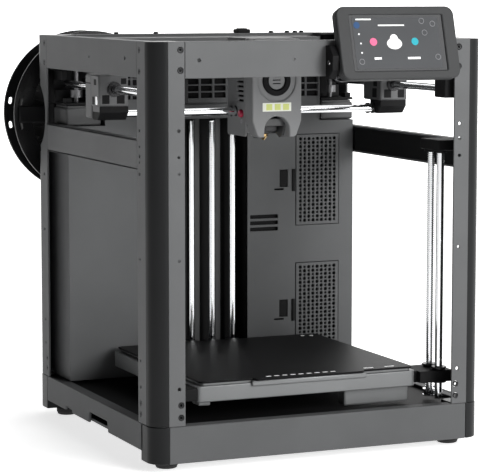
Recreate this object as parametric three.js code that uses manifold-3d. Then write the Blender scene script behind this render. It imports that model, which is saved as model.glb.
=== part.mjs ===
// Open-frame fused-filament 3-D printer. Millimetres, +Z up, -Y is the front.
import * as THREE from 'three';
import { mergeVertices } from 'three/addons/utils/BufferGeometryUtils.js';
import Module from 'manifold-3d';

const wasm = await Module();
wasm.setup();

// Frame
const WIDTH = 363;
const DEPTH = 355.6;
const FRAME_TOP = 419;
const CORNER_R = 17.1;
const SHEET = 2;
const GAP = 0.3;
const HX = WIDTH / 2;
const HY = DEPTH / 2;
const POST_FACE_X = 147.1;
const POST_FACE_Y = 138.4;
// Base
const BASE_TOP = 45;
const BASE_BOTTOM = 8;
const FLOOR_Z = 41;
const SIDE_BOTTOM = 17.7;
const FOOT_R = 11.5;
const FOOT_X = 157;
const FOOT_Y = 151;
// Upper frame
const PLATE_BOTTOM = 383.7;
const FLANGE = 18;
const RAIL_L = [294, 324];
const RAIL_R = [285, 315];
const RAIL_DEPTH = 10;
// Rear compartment
const WALL_Y = 101;
const WALL_X = 170;
const WALL_SHELF = 322;
const TOWER_X = 128;
const TOWER_TOP = 416;
const CHANNEL_X = 38;
const CHANNEL_Y = 128;
const CHANNEL_Z = [52, 327];
const GRILLE_X = [98.5, 152.5];
const GRILLE_Z = [[204, 307], [68, 162]];
// Vertical axis
const ROD_R = 4;
const ROD_HOLE_R = 5.5;
const REAR_ROD_X = 25;
const REAR_ROD_Y = 110;
const FRONT_SCREW = [150, -124];
const FRONT_ROD = [150, -144];
const ROD_TOP = 301.7;
// Bed
const BED_X = 119;
const BED_Y = [-146.5, 92];
const BED_Z = [61, 77];
const PLATE_TOP = 81.6;
const TAB_X = 62;
// Gantry
const Y_ROD_X = 160;
const Y_ROD_Z = 366.8;
const X_RODS = [[0, 340.6], [12, 339.9]];
const BELT_X = 152;
const BELT_Z = [387, 393];
const BELT_HALF = 7;
const IDLER_Y = -160;
const PULLEY_Y = 125;
// Tool head
const HEAD_X = [-18, 38];
const HEAD_MID = 10;
const HEAD_FRONT = -45;
const HEAD_SPLIT = -26;
const HEAD_BACK = 22;
const HEAD_Z = [315, 418];
const NOZZLE_TIP = 310;
const FAN_Z = 374;
const BUTTON = [-8, 339];
// Screen
const SCREEN_X = [10, 141];
const SCREEN_T = 12;
const SCREEN_L = 74;
const SCREEN_TILT = -16;
const SCREEN_FOOT = [-203, 381];
const PIVOT = [-182, 397];
// Reel
const REEL_X = -113;
const REEL_Z = 331.5;
const REEL_R = 91;
const REEL_Y = [184, 224];
const HUB_R = 26.5;
// Position of the box centre in plan, relative to the frame centre
const PLAN_CENTRE = [-11.25, 11];

const paint = { color: 0x6d6f70, roughness: 0.5, metalness: 0.3 };
const dark = { color: 0x1a1b1c, roughness: 0.5, metalness: 0.05 };
const shell = { color: 0x4c4e50, roughness: 0.55, metalness: 0.05 };
const chrome = { color: 0xd8dadc, roughness: 0.12, metalness: 1.0 };
const alloy = { color: 0x9a9c9e, roughness: 0.35, metalness: 0.9 };
const rubber = { color: 0x0d0d0e, roughness: 0.8, metalness: 0.0 };
const brass = { color: 0xb08d4a, roughness: 0.3, metalness: 1.0 };
const red = { color: 0xa3153a, roughness: 0.4, metalness: 0.0 };
const glass = { color: 0x101317, roughness: 0.08, metalness: 0.0 };

const group = new THREE.Group();
group.name = 'fdm_printer';

function toSolid(geometry) {
  const g = geometry.clone();
  g.deleteAttribute('normal');
  g.deleteAttribute('uv');
  const m = mergeVertices(g, 1e-4);
  const mesh = new wasm.Mesh({
    numProp: 3,
    vertProperties: new Float32Array(m.attributes.position.array),
    triVerts: new Uint32Array(m.index.array),
  });
  return new wasm.Manifold(mesh);
}

function toGeometry(solid) {
  const mesh = solid.getMesh();
  const geometry = new THREE.BufferGeometry();
  geometry.setAttribute('position', new THREE.BufferAttribute(mesh.vertProperties, 3));
  geometry.setIndex(new THREE.BufferAttribute(mesh.triVerts, 1));
  geometry.computeVertexNormals();
  return geometry;
}

function box(x, y, z) {
  const g = new THREE.BoxGeometry(x[1] - x[0], y[1] - y[0], z[1] - z[0]);
  g.translate((x[0] + x[1]) / 2, (y[0] + y[1]) / 2, (z[0] + z[1]) / 2);
  return toSolid(g);
}

// A cylinder along an axis: 'x', 'y' or 'z'. The span is measured on that axis.
function rod(axis, a, b, span, r, segments = 20, r2 = r) {
  const g = new THREE.CylinderGeometry(r2, r, span[1] - span[0], segments);
  const mid = (span[0] + span[1]) / 2;
  if (axis === 'x') {
    g.rotateZ(-Math.PI / 2);
    g.translate(mid, a, b);
  }
  if (axis === 'y') {
    g.translate(a, mid, b);
  }
  if (axis === 'z') {
    g.rotateX(Math.PI / 2);
    g.translate(a, b, mid);
  }
  return toSolid(g);
}

function shapeOf(points) {
  return new THREE.Shape(points.map((p) => new THREE.Vector2(p[0], p[1])));
}

// A plan outline raised from z[0] to z[1].
function raise(points, z) {
  const g = new THREE.ExtrudeGeometry(shapeOf(points), { depth: z[1] - z[0], bevelEnabled: false });
  g.translate(0, 0, z[0]);
  return toSolid(g);
}

// A front outline in x and z, drawn back from y[0] to y[1].
function drawBack(points, y) {
  const g = new THREE.ExtrudeGeometry(shapeOf(points), { depth: y[1] - y[0], bevelEnabled: false });
  g.rotateX(Math.PI / 2);
  g.translate(0, y[1], 0);
  return toSolid(g);
}

// A side outline in y and z, drawn across from x[0] to x[1].
function drawAcross(points, x) {
  const g = new THREE.ExtrudeGeometry(shapeOf(points), { depth: x[1] - x[0], bevelEnabled: false });
  g.rotateX(Math.PI / 2);
  g.rotateZ(Math.PI / 2);
  g.translate(x[0], 0, 0);
  return toSolid(g);
}

function arc(cx, cy, r, from, to, steps) {
  const points = [];
  for (let i = 0; i <= steps; i += 1) {
    const a = THREE.MathUtils.degToRad(from + ((to - from) * i) / steps);
    points.push([cx + r * Math.cos(a), cy + r * Math.sin(a)]);
  }
  return points;
}

function roundRect(x, y, r, steps = 6) {
  return [
    ...arc(x[1] - r, y[0] + r, r, -90, 0, steps),
    ...arc(x[1] - r, y[1] - r, r, 0, 90, steps),
    ...arc(x[0] + r, y[1] - r, r, 90, 180, steps),
    ...arc(x[0] + r, y[0] + r, r, 180, 270, steps),
  ];
}

function add(name, solid, finish) {
  const mesh = new THREE.Mesh(toGeometry(solid), new THREE.MeshStandardMaterial(finish));
  mesh.name = name;
  group.add(mesh);
}

function mirrorX(span, side) {
  return side > 0 ? span : [-span[1], -span[0]];
}

function mirrorY(span, side) {
  return side > 0 ? span : [-span[1], -span[0]];
}

function buildBase() {
  const inX = HX - 3;
  const inY = HY - 3;
  const padX = HX - 48;
  const padY = HY - 68;
  let base = raise(roundRect([-HX, HX], [-HY, HY], CORNER_R, 8), [BASE_BOTTOM, BASE_TOP]);
  const cross = (z) => box([-inX, inX], [-padY, padY], z).add(box([-padX, padX], [-inY, inY], z));
  base = base.subtract(cross([BASE_BOTTOM - 1, FLOOR_Z - 3]));
  base = base.subtract(cross([FLOOR_Z, BASE_TOP + 1]));
  base = base.subtract(box([-HX - 1, HX + 1], [-128, 128], [BASE_BOTTOM - 1, SIDE_BOTTOM]));
  base = base.subtract(box([-HX - 1, -HX + 10], [-50, 10], [BASE_BOTTOM, 29]));
  base = base.subtract(box([HX - 10, HX + 1], [-50, 10], [BASE_BOTTOM, 29]));
  add('base_housing', base, shell);
  for (const [tag, sx, sy] of [['fl', -1, -1], ['fr', 1, -1], ['rl', -1, 1], ['rr', 1, 1]]) {
    const foot = rod('z', sx * FOOT_X, sy * FOOT_Y, [0, BASE_BOTTOM - GAP], FOOT_R, 24);
    add(`foot_${tag}`, foot, rubber);
  }
}

function postOutline(sx, sy) {
  const cx = HX - CORNER_R;
  const cy = HY - CORNER_R;
  const outer = arc(cx, cy, CORNER_R, 90, 0, 8);
  const inner = arc(cx, cy, CORNER_R - SHEET, 0, 90, 8);
  const points = [
    [POST_FACE_X, HY],
    ...outer,
    [HX, POST_FACE_Y],
    [HX - SHEET, POST_FACE_Y],
    ...inner,
    [POST_FACE_X, HY - SHEET],
  ];
  return points.map((p) => [p[0] * sx, p[1] * sy]);
}

function capOutline(sx, sy) {
  const outer = arc(HX - CORNER_R, HY - CORNER_R, CORNER_R, 90, 0, 8);
  const points = [[POST_FACE_X, HY], ...outer, [HX, POST_FACE_Y], [POST_FACE_X, POST_FACE_Y]];
  return points.map((p) => [p[0] * sx, p[1] * sy]);
}

function buildPosts() {
  for (const [tag, sx, sy] of [['fl', -1, -1], ['fr', 1, -1], ['rl', -1, 1], ['rr', 1, 1]]) {
    let post = raise(postOutline(sx, sy), [BASE_TOP + GAP, FRAME_TOP]);
    post = post.add(raise(capOutline(sx, sy), [FRAME_TOP - SHEET, FRAME_TOP]));
    if (tag === 'rl') {
      post = post.subtract(rod('x', HY + 6, REEL_Z, [-HX - 5, -POST_FACE_X + 5], 40, 32));
    }
    add(`post_${tag}`, post, paint);
  }
}

function buildTopPlates() {
  const px = POST_FACE_X - GAP;
  const py = POST_FACE_Y - GAP;
  for (const [tag, s] of [['front', -1], ['rear', 1]]) {
    let plate = box([-px, px], mirrorY([HY - SHEET, HY], s), [PLATE_BOTTOM, FRAME_TOP]);
    plate = plate.add(box([-px, px], mirrorY([HY - FLANGE, HY], s), [FRAME_TOP - SHEET, FRAME_TOP]));
    add(`top_plate_${tag}`, plate, paint);
  }
  for (const [tag, s] of [['left', -1], ['right', 1]]) {
    let plate = box(mirrorX([HX - SHEET, HX], s), [-py, py], [PLATE_BOTTOM, FRAME_TOP]);
    plate = plate.add(box(mirrorX([HX - FLANGE, HX], s), [-py, py], [FRAME_TOP - SHEET, FRAME_TOP]));
    add(`top_plate_${tag}`, plate, paint);
  }
}

function buildRails() {
  const py = POST_FACE_Y - GAP;
  for (const [tag, s, z] of [['left', -1, RAIL_L], ['right', 1, RAIL_R]]) {
    let rail = box(mirrorX([HX - RAIL_DEPTH, HX], s), [-py, py], z);
    rail = rail.subtract(box(mirrorX([HX - RAIL_DEPTH - 1, HX - SHEET], s), [-py - 1, py + 1],
      [z[0] + SHEET, z[1] - SHEET]));
    add(`mid_rail_${tag}`, rail, paint);
    const block = box(mirrorX([142, 171], s), [-154, -114], [302, z[1]]);
    add(`z_top_block_${tag}`, block, dark);
  }
}

function buildRear() {
  const back = 174.5;
  const low = BASE_TOP + GAP;
  let rear = box([-WALL_X, WALL_X], [WALL_Y, back], [low, WALL_SHELF]);
  rear = rear.add(box([-TOWER_X, TOWER_X], [WALL_Y, back], [low, TOWER_TOP]));
  const inner = WALL_Y + 2.5;
  rear = rear.subtract(box([-WALL_X + 2, WALL_X - 2], [inner, back + 1], [low + 2, WALL_SHELF - 2]));
  rear = rear.subtract(box([-TOWER_X + 2, TOWER_X - 2], [inner, back + 1], [low + 2, TOWER_TOP - 2]));
  rear = rear.add(box([-CHANNEL_X - 2, CHANNEL_X + 2], [WALL_Y, CHANNEL_Y + 2],
    [CHANNEL_Z[0] - 2, CHANNEL_Z[1] + 2]));
  rear = rear.subtract(box([-CHANNEL_X, CHANNEL_X], [WALL_Y - 1, CHANNEL_Y], CHANNEL_Z));
  for (const z of GRILLE_Z) {
    rear = rear.subtract(box(GRILLE_X, [WALL_Y - 1, inner + 1], z));
  }
  for (let i = 0; i < 3; i += 1) {
    const z = 214 - i * 8.5;
    rear = rear.subtract(box([CHANNEL_X + 5, 76], [WALL_Y - 1, inner + 1], [z, z + 4.5]));
  }
  add('rear_housing', rear, paint);
  GRILLE_Z.forEach((z, k) => {
    let grille = box([GRILLE_X[0] + GAP, GRILLE_X[1] - GAP], [WALL_Y - 0.5, WALL_Y + 1.5],
      [z[0] + GAP, z[1] - GAP]);
    for (let i = 0; i < 9; i += 1) {
      const x = GRILLE_X[0] + 6.5 + i * 5;
      grille = grille.subtract(box([x, x + 3], [WALL_Y - 1, WALL_Y + 2], [z[0] + 5, z[1] - 5]));
    }
    add(`grille_${k === 0 ? 'upper' : 'lower'}`, grille, paint);
  });
}

function buildRearCover() {
  let cover = box([-POST_FACE_X + GAP, POST_FACE_X - GAP], [175, HY], [BASE_TOP + GAP, PLATE_BOTTOM - GAP]);
  for (let i = 0; i < 8; i += 1) {
    const z = 150 + i * 12;
    cover = cover.subtract(box([20, 120], [170, 180], [z, z + 5]));
  }
  cover = cover.subtract(box([80, 138], [170, 180], [58, 92]));
  add('rear_cover', cover, paint);
  let inlet = box([80.3, 137.7], [150, HY + 0.6], [58.3, 91.7]);
  inlet = inlet.subtract(box([85, 113], [162, HY + 2], [64, 86]));
  inlet = inlet.subtract(box([119, 133], [168, HY + 2], [63, 87]));
  add('power_inlet', inlet, dark);
  const face = [[170.5, 64.5], [180.6, 64.5], [178.6, 75], [180.6, 85.5], [170.5, 85.5]];
  add('power_switch', drawAcross(face, [120, 132]), dark);
}

function buildVertical() {
  const spots = [
    ['guide_rod_rear_left', -REAR_ROD_X, REAR_ROD_Y, 325],
    ['guide_rod_rear_right', REAR_ROD_X, REAR_ROD_Y, 325],
    ['guide_rod_front_left', -FRONT_ROD[0], FRONT_ROD[1], ROD_TOP],
    ['guide_rod_front_right', FRONT_ROD[0], FRONT_ROD[1], ROD_TOP],
  ];
  for (const [name, x, y, top] of spots) {
    const foot = name.includes('rear') ? CHANNEL_Z[0] + GAP : BASE_TOP + GAP;
    add(name, rod('z', x, y, [foot, top], ROD_R), chrome);
  }
  const screws = [
    ['lead_screw_rear', 0, REAR_ROD_Y, 325],
    ['lead_screw_left', -FRONT_SCREW[0], FRONT_SCREW[1], ROD_TOP],
    ['lead_screw_right', FRONT_SCREW[0], FRONT_SCREW[1], ROD_TOP],
  ];
  for (const [name, x, y, top] of screws) {
    const foot = name.includes('rear') ? CHANNEL_Z[0] + GAP : BASE_TOP + GAP;
    const screw = rod('z', x, y, [foot, top], ROD_R).add(rod('z', x, y, [foot, foot + 7], 7));
    add(name, screw, chrome);
  }
}

function buildBed() {
  let bed = raise(roundRect([-BED_X, BED_X], BED_Y, 5, 4), BED_Z);
  bed = bed.add(box([-36, 36], [BED_Y[1] - 2, 122], [64, 76]));
  for (const side of [-1, 1]) {
    bed = bed.add(box(mirrorX([BED_X - 4, 162], side), [-146, -112], [64, 76]));
    bed = bed.add(box(mirrorX([BED_X + 5, 162], side), [-153, -145], [64, 76]));
  }
  bed = bed.subtract(box([-BED_X + 5, BED_X - 5], [BED_Y[0] + 5, BED_Y[1] - 5], [BED_Z[0] - 1, 73]));
  const holes = [[-REAR_ROD_X, REAR_ROD_Y], [0, REAR_ROD_Y], [REAR_ROD_X, REAR_ROD_Y],
    FRONT_SCREW, FRONT_ROD, [-FRONT_SCREW[0], FRONT_SCREW[1]], [-FRONT_ROD[0], FRONT_ROD[1]]];
  for (const [x, y] of holes) {
    bed = bed.subtract(rod('z', x, y, [60, 80], ROD_HOLE_R));
  }
  add('bed_frame', bed, alloy);
  add('heated_bed', box([-BED_X + 2, BED_X - 2], [BED_Y[0] + 2, BED_Y[1] - 2], [77.3, 79.3]), alloy);
  let plate = raise(roundRect([-BED_X, BED_X], BED_Y, 5, 4), [79.6, PLATE_TOP]);
  plate = plate.add(box([-TAB_X, TAB_X], [BED_Y[0] - 6, BED_Y[0] + 2], [79.6, PLATE_TOP]));
  add('build_plate', plate, dark);
}

function beltLoop(side) {
  const x = side * BELT_X;
  const outer = [...arc(x, PULLEY_Y, BELT_HALF + 1.2, 0, 180, 8), ...arc(x, IDLER_Y, BELT_HALF + 1.2, 180, 360, 8)];
  const inner = [...arc(x, PULLEY_Y, BELT_HALF, 0, 180, 8), ...arc(x, IDLER_Y, BELT_HALF, 180, 360, 8)];
  return raise(outer, BELT_Z).subtract(raise(inner, [BELT_Z[0] - 1, BELT_Z[1] + 1]));
}

function buildGantry() {
  for (const [tag, s] of [['left', -1], ['right', 1]]) {
    add(`y_rod_${tag}`, rod('y', s * Y_ROD_X, Y_ROD_Z, [-146.7, 146.7], ROD_R), chrome);
    add(`belt_${tag}`, beltLoop(s), rubber);
    let idler = box(mirrorX([140, 172], s), [-170, -147], [359, 399]);
    idler = idler.subtract(box(mirrorX([139, 163], s), [-171, -146], [385, 395]));
    idler = idler.add(rod('z', s * BELT_X, IDLER_Y, [384, 396], BELT_HALF - GAP, 16));
    add(`idler_block_${tag}`, idler, dark);
    let motor = box(mirrorX([131, 171], s), [104, 146], [WALL_SHELF + GAP, 343]);
    motor = motor.add(rod('z', s * BELT_X, PULLEY_Y, [342, 386], 3, 12));
    motor = motor.add(rod('z', s * BELT_X, PULLEY_Y, [385, 395], BELT_HALF - GAP, 16));
    add(`xy_motor_${tag}`, motor, shell);
    add(`rod_bracket_${tag}`, box(mirrorX([131, 171], s), [147, 172], [WALL_SHELF + GAP, 381]), dark);
    let block = box(mirrorX([144.5, 177], s), [-17, 25], [335, 382]);
    block = block.subtract(rod('y', s * Y_ROD_X, Y_ROD_Z, [-18, 26], 5));
    add(`gantry_block_${tag}`, block, dark);
  }
  X_RODS.forEach(([y, z], k) => {
    add(`x_rod_${k === 0 ? 'front' : 'rear'}`, rod('x', y, z, [-144.2, 144.2], ROD_R), chrome);
  });
}

function buildHead() {
  let body = box(HEAD_X, [HEAD_SPLIT, HEAD_BACK], HEAD_Z);
  body = body.subtract(box([HEAD_X[0] + 2, HEAD_X[1] - 2], [HEAD_SPLIT - 1, HEAD_BACK - 2],
    [HEAD_Z[0] - 1, HEAD_Z[1] - 2]));
  for (const [y, z] of X_RODS) {
    body = body.subtract(rod('x', y, z, [HEAD_X[0] - 1, HEAD_X[1] + 1], 5.6));
  }
  body = body.subtract(rod('x', BUTTON[0] - 8, BUTTON[1], [HEAD_X[0] - 1, HEAD_X[0] + 3], 4.6, 16));
  for (let i = 0; i < 5; i += 1) {
    const z = 355 + i * 5;
    body = body.subtract(box([HEAD_X[0] - 1, HEAD_X[0] + 3], [-21, -7], [z, z + 2]));
  }
  add('head_shell', body, shell);
  const face = [[-8, 315], [28, 315], [HEAD_X[1], 326], [HEAD_X[1], HEAD_Z[1]], [HEAD_X[0], HEAD_Z[1]],
    [HEAD_X[0], 326]];
  let cover = drawBack(face, [HEAD_FRONT, HEAD_SPLIT - GAP]);
  cover = cover.subtract(box([HEAD_X[0] + 2, HEAD_X[1] - 2], [HEAD_FRONT + 3, HEAD_SPLIT], [330, 416]));
  const arch = [[-5, 300], [25, 300], ...arc(10, 324, 15, 0, 180, 8)];
  cover = cover.subtract(drawBack(arch, [HEAD_FRONT - 1, HEAD_SPLIT + 1]));
  cover = cover.subtract(rod('y', HEAD_MID, FAN_Z, [HEAD_FRONT - 1, HEAD_FRONT + 1.2], 22, 28));
  cover = cover.subtract(rod('y', HEAD_MID, FAN_Z, [HEAD_FRONT - 1, HEAD_FRONT + 4], 14, 24));
  add('head_cover', cover, shell);
  let slider = box([-13, 33], [-13, 19], [325, 390]);
  for (const [y, z] of X_RODS) {
    slider = slider.subtract(rod('x', y, z, [-14, 34], 5));
  }
  add('head_carriage', slider, dark);
  let hot = box([0, 20], [-20, 0], [317, 324.7]);
  hot = hot.add(rod('z', HEAD_MID, -10, [NOZZLE_TIP, 317.5], 0.8, 16, 4));
  add('hotend', hot, brass);
  let fan = rod('y', HEAD_MID, FAN_Z, [-43, -33], 6, 16);
  for (let i = 0; i < 7; i += 1) {
    const g = new THREE.BoxGeometry(13, 7, 1.2);
    g.rotateX(0.6);
    g.translate(7, 0, 0);
    g.rotateY((i / 7) * Math.PI * 2);
    g.translate(HEAD_MID, -38, FAN_Z);
    fan = fan.add(toSolid(g));
  }
  add('fan_rotor', fan, dark);
  add('release_button', rod('x', BUTTON[0] - 8, BUTTON[1], [HEAD_X[0] - 3, HEAD_X[0] + 2], 4, 16), red);
}

function leaned(solid) {
  const tilted = solid.rotate([SCREEN_TILT, 0, 0]);
  return tilted.translate([0, SCREEN_FOOT[0], SCREEN_FOOT[1]]);
}

function buildScreen() {
  const outline = roundRect(SCREEN_X, [0, SCREEN_L], 9, 5);
  let housing = leaned(drawBack(outline, [0, SCREEN_T]));
  const window = [SCREEN_X[0] + 12, SCREEN_X[1] - 12];
  housing = housing.subtract(leaned(box(window, [-1, 2], [8, SCREEN_L - 8])));
  for (const x of [14, 129]) {
    housing = housing.add(box([x, x + 6], [-188, PIVOT[0] + 3.5], [PIVOT[1] - 4, PIVOT[1] + 4]));
    housing = housing.subtract(rod('x', PIVOT[0], PIVOT[1], [x - 1, x + 7], 2.6, 16));
  }
  add('screen_housing', housing, shell);
  const glassPane = box([window[0] + GAP, window[1] - GAP], [0.4, 1.7], [8 + GAP, SCREEN_L - 8 - GAP]);
  add('screen_panel', leaned(glassPane), glass);
  const hex = [[-178.1, 381], [-186, 381], [-194, 390], [-194, 404], [-186, 414], [-178.1, 414]];
  let bracket = drawAcross(hex, [3, 9]);
  bracket = bracket.add(box([5, 146], [-180.4, -178.1], [383.7, 390]));
  bracket = bracket.add(rod('x', PIVOT[0], PIVOT[1], [8, 23], 2, 16));
  bracket = bracket.add(box([142, 146], [-186, -178.1], [383.7, 401]));
  bracket = bracket.add(rod('x', PIVOT[0], PIVOT[1], [127, 143], 2, 16));
  add('screen_bracket', bracket, dark);
}

function buildReel() {
  const [y0, y1] = REEL_Y;
  const profile = [
    [HUB_R, y0 + 4], [30, y0 + 4], [30, y0 + 16], [70, y0 + 16], [70, y0], [REEL_R, y0],
    [REEL_R, y0 + 3], [74, y0 + 3], [74, y1 - 3], [REEL_R, y1 - 3], [REEL_R, y1], [70, y1],
    [70, y1 - 16], [30, y1 - 16], [30, y1 - 4], [HUB_R, y1 - 4], [HUB_R, y0 + 4],
  ];
  const g = new THREE.LatheGeometry(profile.map((p) => new THREE.Vector2(p[0], p[1])), 40);
  g.translate(REEL_X, 0, REEL_Z);
  add('reel', toSolid(g), dark);
  let holder = box([-199.6, -85], [HY + GAP, 183], [REEL_Z - 9, REEL_Z + 9]);
  holder = holder.add(rod('y', REEL_X, REEL_Z, [182, y1 + 1], HUB_R - 1, 28));
  add('spool_holder', holder, dark);
  add('filament_sensor', box([54, 70], [162, 176], [FRAME_TOP + GAP, FRAME_TOP + 5.5]), dark);
}

buildBase();
buildPosts();
buildTopPlates();
buildRails();
buildRear();
buildRearCover();
buildVertical();
buildBed();
buildGantry();
buildHead();
buildScreen();
buildReel();
group.children.forEach((mesh) => {
  mesh.geometry.translate(-PLAN_CENTRE[0], -PLAN_CENTRE[1], 0);
});

export default group;
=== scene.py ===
import math

import bmesh
import bpy
from mathutils import Matrix, Vector


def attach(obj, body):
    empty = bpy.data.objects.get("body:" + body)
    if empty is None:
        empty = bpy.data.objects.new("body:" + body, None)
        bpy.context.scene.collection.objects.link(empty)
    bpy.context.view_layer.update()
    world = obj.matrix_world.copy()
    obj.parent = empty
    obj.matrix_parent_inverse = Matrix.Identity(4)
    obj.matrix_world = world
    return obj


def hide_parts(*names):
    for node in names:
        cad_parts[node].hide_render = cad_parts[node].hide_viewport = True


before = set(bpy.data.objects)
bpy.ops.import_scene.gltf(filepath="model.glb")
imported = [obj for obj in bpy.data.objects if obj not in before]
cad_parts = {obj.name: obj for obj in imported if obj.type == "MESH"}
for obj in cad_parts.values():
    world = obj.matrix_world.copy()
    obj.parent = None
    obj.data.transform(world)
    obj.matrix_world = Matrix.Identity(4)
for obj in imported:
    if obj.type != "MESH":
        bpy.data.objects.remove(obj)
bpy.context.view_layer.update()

# Every length below is in millimetres from the frame's own centre; MOVE takes it to the row frame.
MOVE = Vector((11.25, -11.0, 0.0))
HX, HY = 181.5, 177.8  # half the width and half the depth of the frame
TOP = 419.0
BASE_TOP = 45.0
POST_LOW = BASE_TOP + 0.3
PLATE_LOW = 383.7  # lower edge of the top plates
CORNER_R = 17.1
SHEET = 2.0  # thickness of the frame's sheet metal
CORNERS = (("fl", -1, -1), ("fr", 1, -1), ("rl", -1, 1), ("rr", 1, 1))
SIDES = (("left", -1), ("right", 1))
# The rods and screws, with their radius, the clearance bores around them and where each one stands.
ROD_R, BORE_R = 4.0, 5.6
REAR_ROD_X, REAR_Y, REAR_TOP = 25, 110, 325
LIFT_X, SCREW_Y, GUIDE_Y, LIFT_TOP = 150, -124, -144, 301.7
Y_ROD_X, Y_ROD_Z = 160, 366.8
X_RODS = (("front", 0, 340.6), ("rear", 12, 339.9))
BELT_X, BELT_Z, PULLEY_Y, IDLER_Y = 152, (387, 393), 125, -160
FAN_X, FAN_Z = 10, 374
REEL_X, REEL_Z = -113.0, 331.5
PI = math.pi


# ---------------------------------------------------------------- materials
BLOTCH = 18.0  # noise scale of the faint blotches


def material(name, colour, rough=0.5, metal=0.0, grain=900.0, bump=0.05, vary=0.12, spread=0.08, spec=0.5):
    """A surface with fine grain, faint blotches of tone and an uneven roughness."""
    m = bpy.data.materials.new(name)
    m.use_nodes = True
    n, links = m.node_tree.nodes, m.node_tree.links
    b = n["Principled BSDF"]
    b.inputs["Metallic"].default_value = metal
    b.inputs["Specular IOR Level"].default_value = spec
    place = n.new("ShaderNodeTexCoord")
    blotch = n.new("ShaderNodeTexNoise")
    blotch.inputs["Scale"].default_value = BLOTCH
    blotch.inputs["Detail"].default_value = 5
    links.new(place.outputs["Object"], blotch.inputs["Vector"])
    ramp = n.new("ShaderNodeValToRGB")
    low = [c * (1 - vary) for c in colour]
    high = [min(1.0, c * (1 + vary)) for c in colour]
    ramp.color_ramp.elements[0].position = 0.3
    ramp.color_ramp.elements[1].position = 0.7
    ramp.color_ramp.elements[0].color = (*low, 1)
    ramp.color_ramp.elements[1].color = (*high, 1)
    links.new(blotch.outputs["Fac"], ramp.inputs["Fac"])
    links.new(ramp.outputs["Color"], b.inputs["Base Color"])
    fine = n.new("ShaderNodeTexNoise")
    fine.inputs["Scale"].default_value = grain
    fine.inputs["Detail"].default_value = 3
    links.new(place.outputs["Object"], fine.inputs["Vector"])
    span = n.new("ShaderNodeMapRange")
    span.inputs["To Min"].default_value = max(0.02, rough - spread)
    span.inputs["To Max"].default_value = min(1.0, rough + spread)
    links.new(fine.outputs["Fac"], span.inputs["Value"])
    links.new(span.outputs["Result"], b.inputs["Roughness"])
    raised = n.new("ShaderNodeBump")
    raised.inputs["Strength"].default_value = bump
    raised.inputs["Distance"].default_value = 0.0003
    links.new(fine.outputs["Fac"], raised.inputs["Height"])
    links.new(raised.outputs["Normal"], b.inputs["Normal"])
    return m


def glow(m, colour, strength):
    shader = m.node_tree.nodes["Principled BSDF"]
    shader.inputs["Emission Color"].default_value = (*colour, 1)
    shader.inputs["Emission Strength"].default_value = strength


def glowing(name, colour, strength):
    m = material(name, colour, 0.4, grain=500, spec=0.12)
    glow(m, colour, strength)
    return m


PAINT = material("powder_coat", (0.107, 0.109, 0.111), 0.5, 0.1, 1400, 0.12, 0.05, spec=0.12)
# A darker copy of the frame paint for the rear wall, its ribs and grilles inside the chamber: painted shade.
PAINT_SHADED = material("powder_coat_inner_shaded", (0.084, 0.086, 0.088), 0.5, 0.1, 1400, 0.12, 0.06, spec=0.25)
CORNER = material("corner_coat", (0.013, 0.0135, 0.014), 0.34, 0.1, 1400, 0.08, 0.06, spec=0.14)
SKIRT = material("base_coat", (0.096, 0.098, 0.1), 0.5, 0.05, 1200, 0.12, 0.05, spec=0.08)
HEAD = material("head_plastic", (0.187, 0.19, 0.193), 0.5, 0.0, 1100, 0.14, 0.04, spec=0.35)
HOUSING = material("screen_plastic", (0.034, 0.035, 0.036), 0.5, 0.0, 1000, 0.15, 0.05, spec=0.22)
BLACK = material("black_plastic", (0.0065, 0.0065, 0.007), 0.6, 0.0, 1100, 0.12, 0.1, spec=0.12)
BLOCK = material("bearing_block", (0.07, 0.071, 0.073), 0.45, 0.1, 1100, 0.1, 0.05)
GREY_PART = material("grey_bracket", (0.045, 0.046, 0.047), 0.5, 0.1, 1100, 0.1, 0.06)
REEL = material("reel_plastic", (0.006, 0.006, 0.0065), 0.3, 0.0, 700, 0.06, 0.1, spec=0.3)
REEL_IN = material("reel_inner", (0.07, 0.07, 0.07), 0.4, 0.0, 700, 0.06, 0.1, spec=0.25)
RUBBER = material("foot_rubber", (0.014, 0.014, 0.014), 0.8, 0.0, 600, 0.25, 0.12)
BELT = material("belt_rubber", (0.012, 0.012, 0.012), 0.7, 0.0, 900, 0.3, 0.1)
STEEL = material("ground_steel", (0.82, 0.83, 0.84), 0.1, 1.0, 2200, 0.02, 0.03, 0.04)
SCREW = material("screw_steel", (0.022, 0.022, 0.023), 0.35, 0.5, 900, 0.05, 0.1, spec=0.3)
DULL = material("dull_steel", (0.2, 0.2, 0.205), 0.4, 0.8, 900, 0.05, 0.1)
ALLOY = material("bed_alloy", (0.165, 0.17, 0.172), 0.42, 0.3, 1500, 0.08, 0.05)
PLATE = material("plate_coat", (0.006, 0.006, 0.0065), 0.45, 0.0, 2600, 0.2, 0.08, 0.06, spec=0.07)
BRASS = material("brass_turned", (0.55, 0.38, 0.17), 0.28, 1.0, 900, 0.05, 0.08)
RED = material("red_plastic", (0.38, 0.012, 0.05), 0.35, 0.0, 800, 0.05, 0.06)
GLASS = material("screen_glass", (0.012, 0.013, 0.015), 0.2, 0.0, 300, 0.0, 0.03, 0.02, spec=0.2)
UI_BACK = glowing("ui_back", (0.045, 0.047, 0.05), 0.5)
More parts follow.
